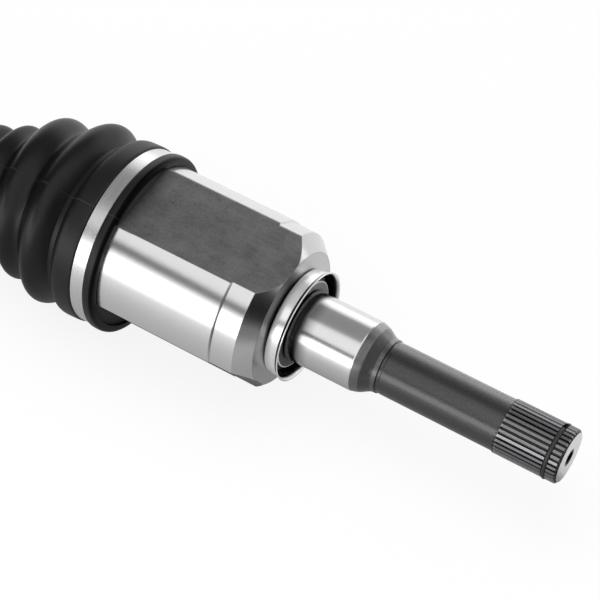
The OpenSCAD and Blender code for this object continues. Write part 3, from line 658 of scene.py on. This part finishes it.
class AXLE_OT_inboard_boot(Operator):
    """Inboard boot in two pieces: the collar with the first fold, and the rest"""

    bl_idname = "axle.inboard_boot"
    bl_label = "Inboard boot"

    def execute(self, context):
        sizes = context.scene.axle_boot
        material = rubber("boot_rubber", tuple(context.scene.axle_dark.rubber), sizes.mould_line)
        wall = sizes.wall / MM
        shape = (sizes.round_steps, sizes.droop / MM, sizes.droop_way)
        step = (BOOT_START - BOOT_STOP) / INNER_FOLDS / sizes.fold_steps
        first = np.arange(BOOT_START - step, SLIDE_SEAM + 0.2, -step)
        second = np.arange(SLIDE_SEAM - step, BOOT_STOP, -step)
        seam = with_radius(np.array([SLIDE_SEAM]), inboard_radius)
        groove = COLLAR_R - 2.0
        collar = softened(np.array([
            [-106.9, 42.15], [-106.15, 42.15], [-106.0, 42.5], [-106.1, 44.6], [-106.45, 45.7], [-106.7, 45.95],
            [-107.6, 46.3], [-109.0, 46.42], [-111.0, 46.35], [-111.5, 46.1], [-111.75, 45.4], [-111.8, groove],
            [-118.9, groove], [-118.95, 45.3], [-119.2, 46.0], [-119.8, 46.35],
            [-124.0, 46.4], [-127.0, 46.35], [-128.6, 46.05], [-129.8, 45.4], [-130.8, 44.4], [-131.7, 43.0],
            [-132.5, 41.4], [-133.4, 40.2], [-134.4, 39.7], [-135.1, 39.6],
        ]))[2:-3]
        outer_a = piece_by_piece(collar, with_radius(first, inboard_radius), seam)
        back = outer_a[::-1][outer_a[::-1][:, 0] < BOOT_START - 0.3]
        inner_a = piece_by_piece(back - [0.0, wall], [
            [-133.4, 37.8], [-131.4, 39.6], [-129.4, 41.8], [-127.0, 42.5],
            [-123.5, 42.5], [-123.5, 43.4], [-107.8, 43.4], [-107.2, 42.4],
        ])
        slide = surface("inboard_boot_collar", revolved(piece_by_piece(outer_a, inner_a), *shape), material)
        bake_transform(slide)

        tip = small_end(BOOT_STOP, BOOT_END, -1)
        outer_b = piece_by_piece(seam, with_radius(second, inboard_radius), tip)
        inner_b = with_radius(np.concatenate([[SLIDE_SEAM], second])[::-1], inboard_radius, wall)
        bend = surface("inboard_boot_folds", revolved(piece_by_piece(outer_b, inner_b), *shape), material)
        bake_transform(bend)
        for piece in (slide, bend):
            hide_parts("inboard_boot")
        return {"FINISHED"}


class AXLE_OT_outboard_boot(Operator):
    """Outboard boot, between the bell and the bar"""

    bl_idname = "axle.outboard_boot"
    bl_label = "Outboard boot"

    def execute(self, context):
        sizes = context.scene.axle_boot
        material = bpy.data.materials["boot_rubber"]
        wall = sizes.wall / MM
        seat = BELL_COLLAR_R - 2.3
        lip = BELL_COLLAR_R
        collar = softened(np.array([
            [-406.8, seat], [-406.8, lip - 0.4], [-406.5, lip], [-403.6, lip], [-403.15, lip - 0.1],
            [-403.1, lip - 0.7], [-396.1, lip - 0.7], [-396.05, lip - 0.1], [-395.6, lip], [-392.6, lip],
            [-391.4, lip - 0.8], [-390.2, lip - 3.5],
        ]))[:-2]
        step = (OUTER_STOP - OUTER_START) / OUTER_FOLDS / sizes.fold_steps * 1.25
        along = np.arange(OUTER_START + 0.4, OUTER_STOP, step)
        outer = piece_by_piece(collar, with_radius(along, outboard_radius), small_end(OUTER_STOP, OUTER_END, 1))
        inner = piece_by_piece(with_radius(along[::-1], outboard_radius, wall),
                               [[-389.6, 38.6], [-391.3, 39.8], [-391.4, seat]])
        outline = piece_by_piece(outer, inner)[::-1]
        piece = surface("outboard_boot_rubber", revolved(outline, sizes.round_steps), material)
        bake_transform(piece)
        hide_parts("outboard_boot")
        return {"FINISHED"}


class AXLE_OT_housing(Operator):
    """Inboard housing with its stub, its retaining ring and the boot insert"""

    bl_idname = "axle.housing"
    bl_label = "Inboard housing"

    def execute(self, context):
        scene = context.scene
        smooth_node("inboard_housing", housing_steel(scene.axle_steel), 22.0)
        smooth_node("stub_ring", plain_steel("black_steel", tuple(scene.axle_dark.spring), 0.38, 0.4))
        smooth_node("boot_insert", bpy.data.materials["boot_rubber"])
        return {"FINISHED"}


class AXLE_OT_dust_shield(Operator):
    """Pressed dust shield with its curled lip"""

    bl_idname = "axle.dust_shield"
    bl_label = "Dust shield"

    def execute(self, context):
        outline = softened(np.array([
            [-20.9, 24.02], [-21.9, 24.05], [-22.5, 24.4], [-22.65, 25.2], [-22.6, 25.9], [-22.3, 26.45],
            [-21.6, 26.75], [-16.6, 27.0], [-16.0, 27.12], [-15.5, 27.5], [-15.1, 28.0], [-14.75, 28.2],
            [-14.45, 28.0], [-14.5, 27.6], [-15.0, 27.05], [-15.7, 26.5], [-16.6, 26.2], [-21.3, 26.0],
            [-21.7, 25.6], [-21.7, 25.1], [-21.3, 24.95], [-20.9, 24.95],
        ]))[::-1]
        piece = surface("dust_shield_pressing", revolved(outline, 160), plated_steel(context.scene.axle_steel),
                        "inboard_housing", 60.0)
        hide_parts("dust_shield")
        return {"FINISHED"}


class AXLE_OT_clamps(Operator):
    """The four clamp bands with their crimped ears"""

    bl_idname = "axle.clamps"
    bl_label = "Clamps"

    def execute(self, context):
        material = clamp_steel(context.scene.axle_steel)
        for name in ("inboard_clamp_large", "inboard_clamp_small", "outboard_clamp_large", "outboard_clamp_small"):
            smooth_node(name, material)
        return {"FINISHED"}


class AXLE_OT_tripod(Operator):
    """Tripod, rollers, needles, washers and rings"""

    bl_idname = "axle.tripod"
    bl_label = "Tripod"

    def execute(self, context):
        ground = plain_steel("bearing_steel", tuple(context.scene.axle_steel.bearing), 0.26)
        for name in ("spider", "roller_washers"):
            smooth_node(name, ground)
        for number in range(1, 4):
            smooth_node(f"roller_{number}", ground)
            smooth_node(f"needles_{number}", ground)
        for name in ("roller_rings", "spider_rings"):
            smooth_node(name, bpy.data.materials["black_steel"])
        return {"FINISHED"}


class AXLE_OT_ball_joint(Operator):
    """Inner race, cage, six balls and the outboard housing"""

    bl_idname = "axle.ball_joint"
    bl_label = "Ball joint"

    def execute(self, context):
        steel = context.scene.axle_steel
        for name in ("inner_race", "cage"):
            smooth_node(name, bpy.data.materials["bearing_steel"])
        polished = plain_steel("ball_steel", tuple(min(1.0, 1.25 * c) for c in steel.bearing), 0.08)
        for number in range(1, 7):
            smooth_node(f"ball_{number}", polished)
        smooth_node("inner_race_ring", bpy.data.materials["black_steel"])
        smooth_node("outer_race", race_steel(steel), 25.0)
        return {"FINISHED"}


class AXLE_OT_bar(Operator):
    """The painted bar between the joints"""

    bl_idname = "axle.bar"
    bl_label = "Bar"

    def execute(self, context):
        smooth_node("axle_bar", bar_paint(tuple(context.scene.axle_dark.paint)))
        return {"FINISHED"}


def card(name, centre, towards, width, length, grey):
    """A flat card that only mirrors in metal: a rectangle about a centre, facing a point, its long side along Y."""
    mesh = bpy.data.meshes.new(name)
    a, b = width / 2, length / 2
    mesh.from_pydata([(-a, -b, 0), (a, -b, 0), (a, b, 0), (-a, b, 0)], [], [(0, 1, 2, 3)])
    made = bpy.data.objects.new(name, mesh)
    bpy.context.scene.collection.objects.link(made)
    made.location = centre
    made.rotation_euler = (Vector(towards) - Vector(centre)).to_track_quat("Z", "Y").to_euler()
    material, f = new_material(name, (grey, grey, grey))
    glow = f.node("Emission", None, {"Color": (grey, grey, grey), "Strength": 1.0})
    f.node("OutputMaterial", None, {0: glow.outputs[0]})
    mesh.materials.append(material)
    made.visible_camera = made.visible_diffuse = made.visible_shadow = False
    made.visible_transmission = made.visible_volume_scatter = False
    return made


def low_card(height):
    """A card that only mirrors in metal, just over the floor in front of the shaft: grey close by and under the
    shaft, lighter to the front, darker to the right."""
    made = card("card_low", (-0.1, -0.68, height), (-0.1, -0.68, 1.0), 2.6, 1.4, 1.0)
    made.rotation_euler = (0.0, 0.0, 0.0)
    material, f = new_material("card_low_grey", (0.4, 0.4, 0.4))
    x, y, _, _ = f.place(f.spot())
    ahead = ((660.0 - y) / 360.0).math("MAXIMUM", 0.0).math("MINIMUM", 1.0)
    grey = (0.33 + ahead ** 0.6 * 0.45) * (1 - f.rise(x, 170.0, 360.0) * 0.6)
    glow = f.node("Emission", None, {"Color": (1, 1, 1), "Strength": grey})
    f.node("OutputMaterial", None, {0: glow.outputs[0]})
    made.data.materials.clear()
    made.data.materials.append(material)


def softbox(name, centre, towards, size, power, shown=True):
    """A rectangular area lamp about a centre, facing a point, its long side along X."""
    lamp = bpy.data.lights.new(name, "AREA")
    lamp.shape = "RECTANGLE"
    lamp.size, lamp.size_y = size
    lamp.energy = power
    made = bpy.data.objects.new(name, lamp)
    bpy.context.scene.collection.objects.link(made)
    made.location = centre
    made.rotation_euler = (Vector(towards) - Vector(centre)).to_track_quat("-Z", "Y").to_euler()
    made.visible_camera = False
    made.visible_glossy = shown


def along_shaft(angle, distance, x=0.0):
    """A point at a distance from the shaft's axis, in the direction angle degrees from +Y towards +Z."""
    a = math.radians(angle)
    return (x, distance * math.cos(a), distance * math.sin(a))


class AXLE_OT_studio(Operator):
    """Camera, pale floor, soft lamps, dark cards and white surroundings"""

    bl_idname = "axle.studio"
    bl_label = "Studio"

    def execute(self, context):
        studio = context.scene.axle_studio
        scene = context.scene
        scene.view_settings.view_transform = "Standard"

        camera = bpy.data.cameras.new("camera")
        camera.lens, camera.sensor_width = CAMERA_LENS, SENSOR_WIDTH
        camera.clip_start, camera.clip_end = 0.05, 60.0
        view = bpy.data.objects.new("camera", camera)
        scene.collection.objects.link(view)
        view.matrix_world = Matrix.LocRotScale(Vector(CAMERA_AT), Matrix(CAMERA_AXES).to_quaternion(), None)
        scene.camera = view

        low, side = CAD_BOX[0][2] - 0.0004, 8.0
        corners = [(-side, -side, low), (side, -side, low), (side, side, low), (-side, side, low)]
        sheet = bpy.data.meshes.new("floor")
        sheet.from_pydata(corners, [], [(0, 1, 2, 3)])
        floor = bpy.data.objects.new("floor", sheet)
        scene.collection.objects.link(floor)
        colour = tuple(studio.floor)
        material, f = new_material("floor_paper", colour)
        fibre = f.noise(f.spot(), 300.0, 3.0)
        paper = f.node("BsdfDiffuse", None, {0: f.shade(colour, 0.99 + fibre * 0.02)})
        white = f.node("Emission", None, {"Color": (1, 1, 1), "Strength": 1.0})
        seen = Wire(f.tree, f.node("LightPath").outputs["Is Camera Ray"])
        both = f.node("MixShader", None, {0: seen * 0.86, 1: paper.outputs[0], 2: white.outputs[0]})
        f.node("OutputMaterial", None, {0: both.outputs[0]})
        sheet.materials.append(material)

        world = bpy.data.worlds.new("studio_world")
        scene.world = world
        f = Finish(world)
        path = f.node("LightPath")
        shown = sum((Wire(f.tree, path.outputs[n]) for n in ("Is Glossy Ray", "Is Transmission Ray")),
                    Wire(f.tree, path.outputs["Is Camera Ray"])).math("MINIMUM", 1.0)
        ambient = f.node("Background", None, {"Color": (1, 1, 1), "Strength": studio.ambient})
        backdrop = f.node("Background", None, {"Color": (1, 1, 1), "Strength": 1.0})
        both = f.node("MixShader", None, {0: shown, 1: ambient.outputs[0], 2: backdrop.outputs[0]})
        f.node("OutputWorld", None, {0: both.outputs[0]})

        middle = (-0.1, 0.0, 0.0)
        softbox("front_softbox", along_shaft(166, 1.0, -0.35), (-0.05, 0, 0.0), (2.2, 0.42), studio.front_power)
        softbox("top_softbox", (-0.3, -0.1, 1.5), middle, (1.6, 1.2), studio.top_power, False)
        grey = studio.card
        card("card_over", along_shaft(68, 0.7, -0.3), middle, 4.6, 0.72, grey)
        card("card_left", (-1.7, 0.1, 0.6), (-0.2, 0.0, 0.0), 2.4, 2.6, 0.05)
        card("card_back", along_shaft(12, 0.9, -0.3), middle, 2.2, 0.4, 1.5)
        card("card_front", along_shaft(137, 0.75, -0.5), middle, 2.0, 0.15, 0.0)
        card("card_end", (0.95, -0.22, 0.13), (0.0, -0.02, 0.0), 0.6, 0.75, 0.02)
        low_card(low + 0.0002)
        return {"FINISHED"}


class AXLE_PT_sidebar(Panel):
    """Sizes, colours and steps of the axle shaft"""

    bl_label = "CV axle shaft"
    bl_space_type = "VIEW_3D"
    bl_region_type = "UI"
    bl_category = "Axle"

    def draw(self, context):
        layout = self.layout
        for group in GROUPS:
            box = layout.box()
            settings = getattr(context.scene, group)
            for name in settings.bl_rna.properties.keys():
                if name not in ("rna_type", "name"):
                    box.prop(settings, name)
        for step in STEPS:
            layout.operator(step.bl_idname)


GROUPS = {
    "axle_boot": BootSizes, "axle_steel": SteelColours, "axle_dark": DarkColours, "axle_studio": StudioSettings,
}
STEPS = (AXLE_OT_inboard_boot, AXLE_OT_outboard_boot, AXLE_OT_housing, AXLE_OT_dust_shield, AXLE_OT_clamps,
         AXLE_OT_tripod, AXLE_OT_ball_joint, AXLE_OT_bar, AXLE_OT_studio)
CLASSES = (*GROUPS.values(), *STEPS, AXLE_PT_sidebar)


def register():
    for made in CLASSES:
        bpy.utils.register_class(made)
    for name, group in GROUPS.items():
        setattr(bpy.types.Scene, name, PointerProperty(type=group))


def unregister():
    for name in GROUPS:
        delattr(bpy.types.Scene, name)
    for made in reversed(CLASSES):
        bpy.utils.unregister_class(made)


def main():
    register()
    for step in STEPS:
        group, name = step.bl_idname.split(".")
        getattr(getattr(bpy.ops, group), name)()


if __name__ == "__main__":
    main()
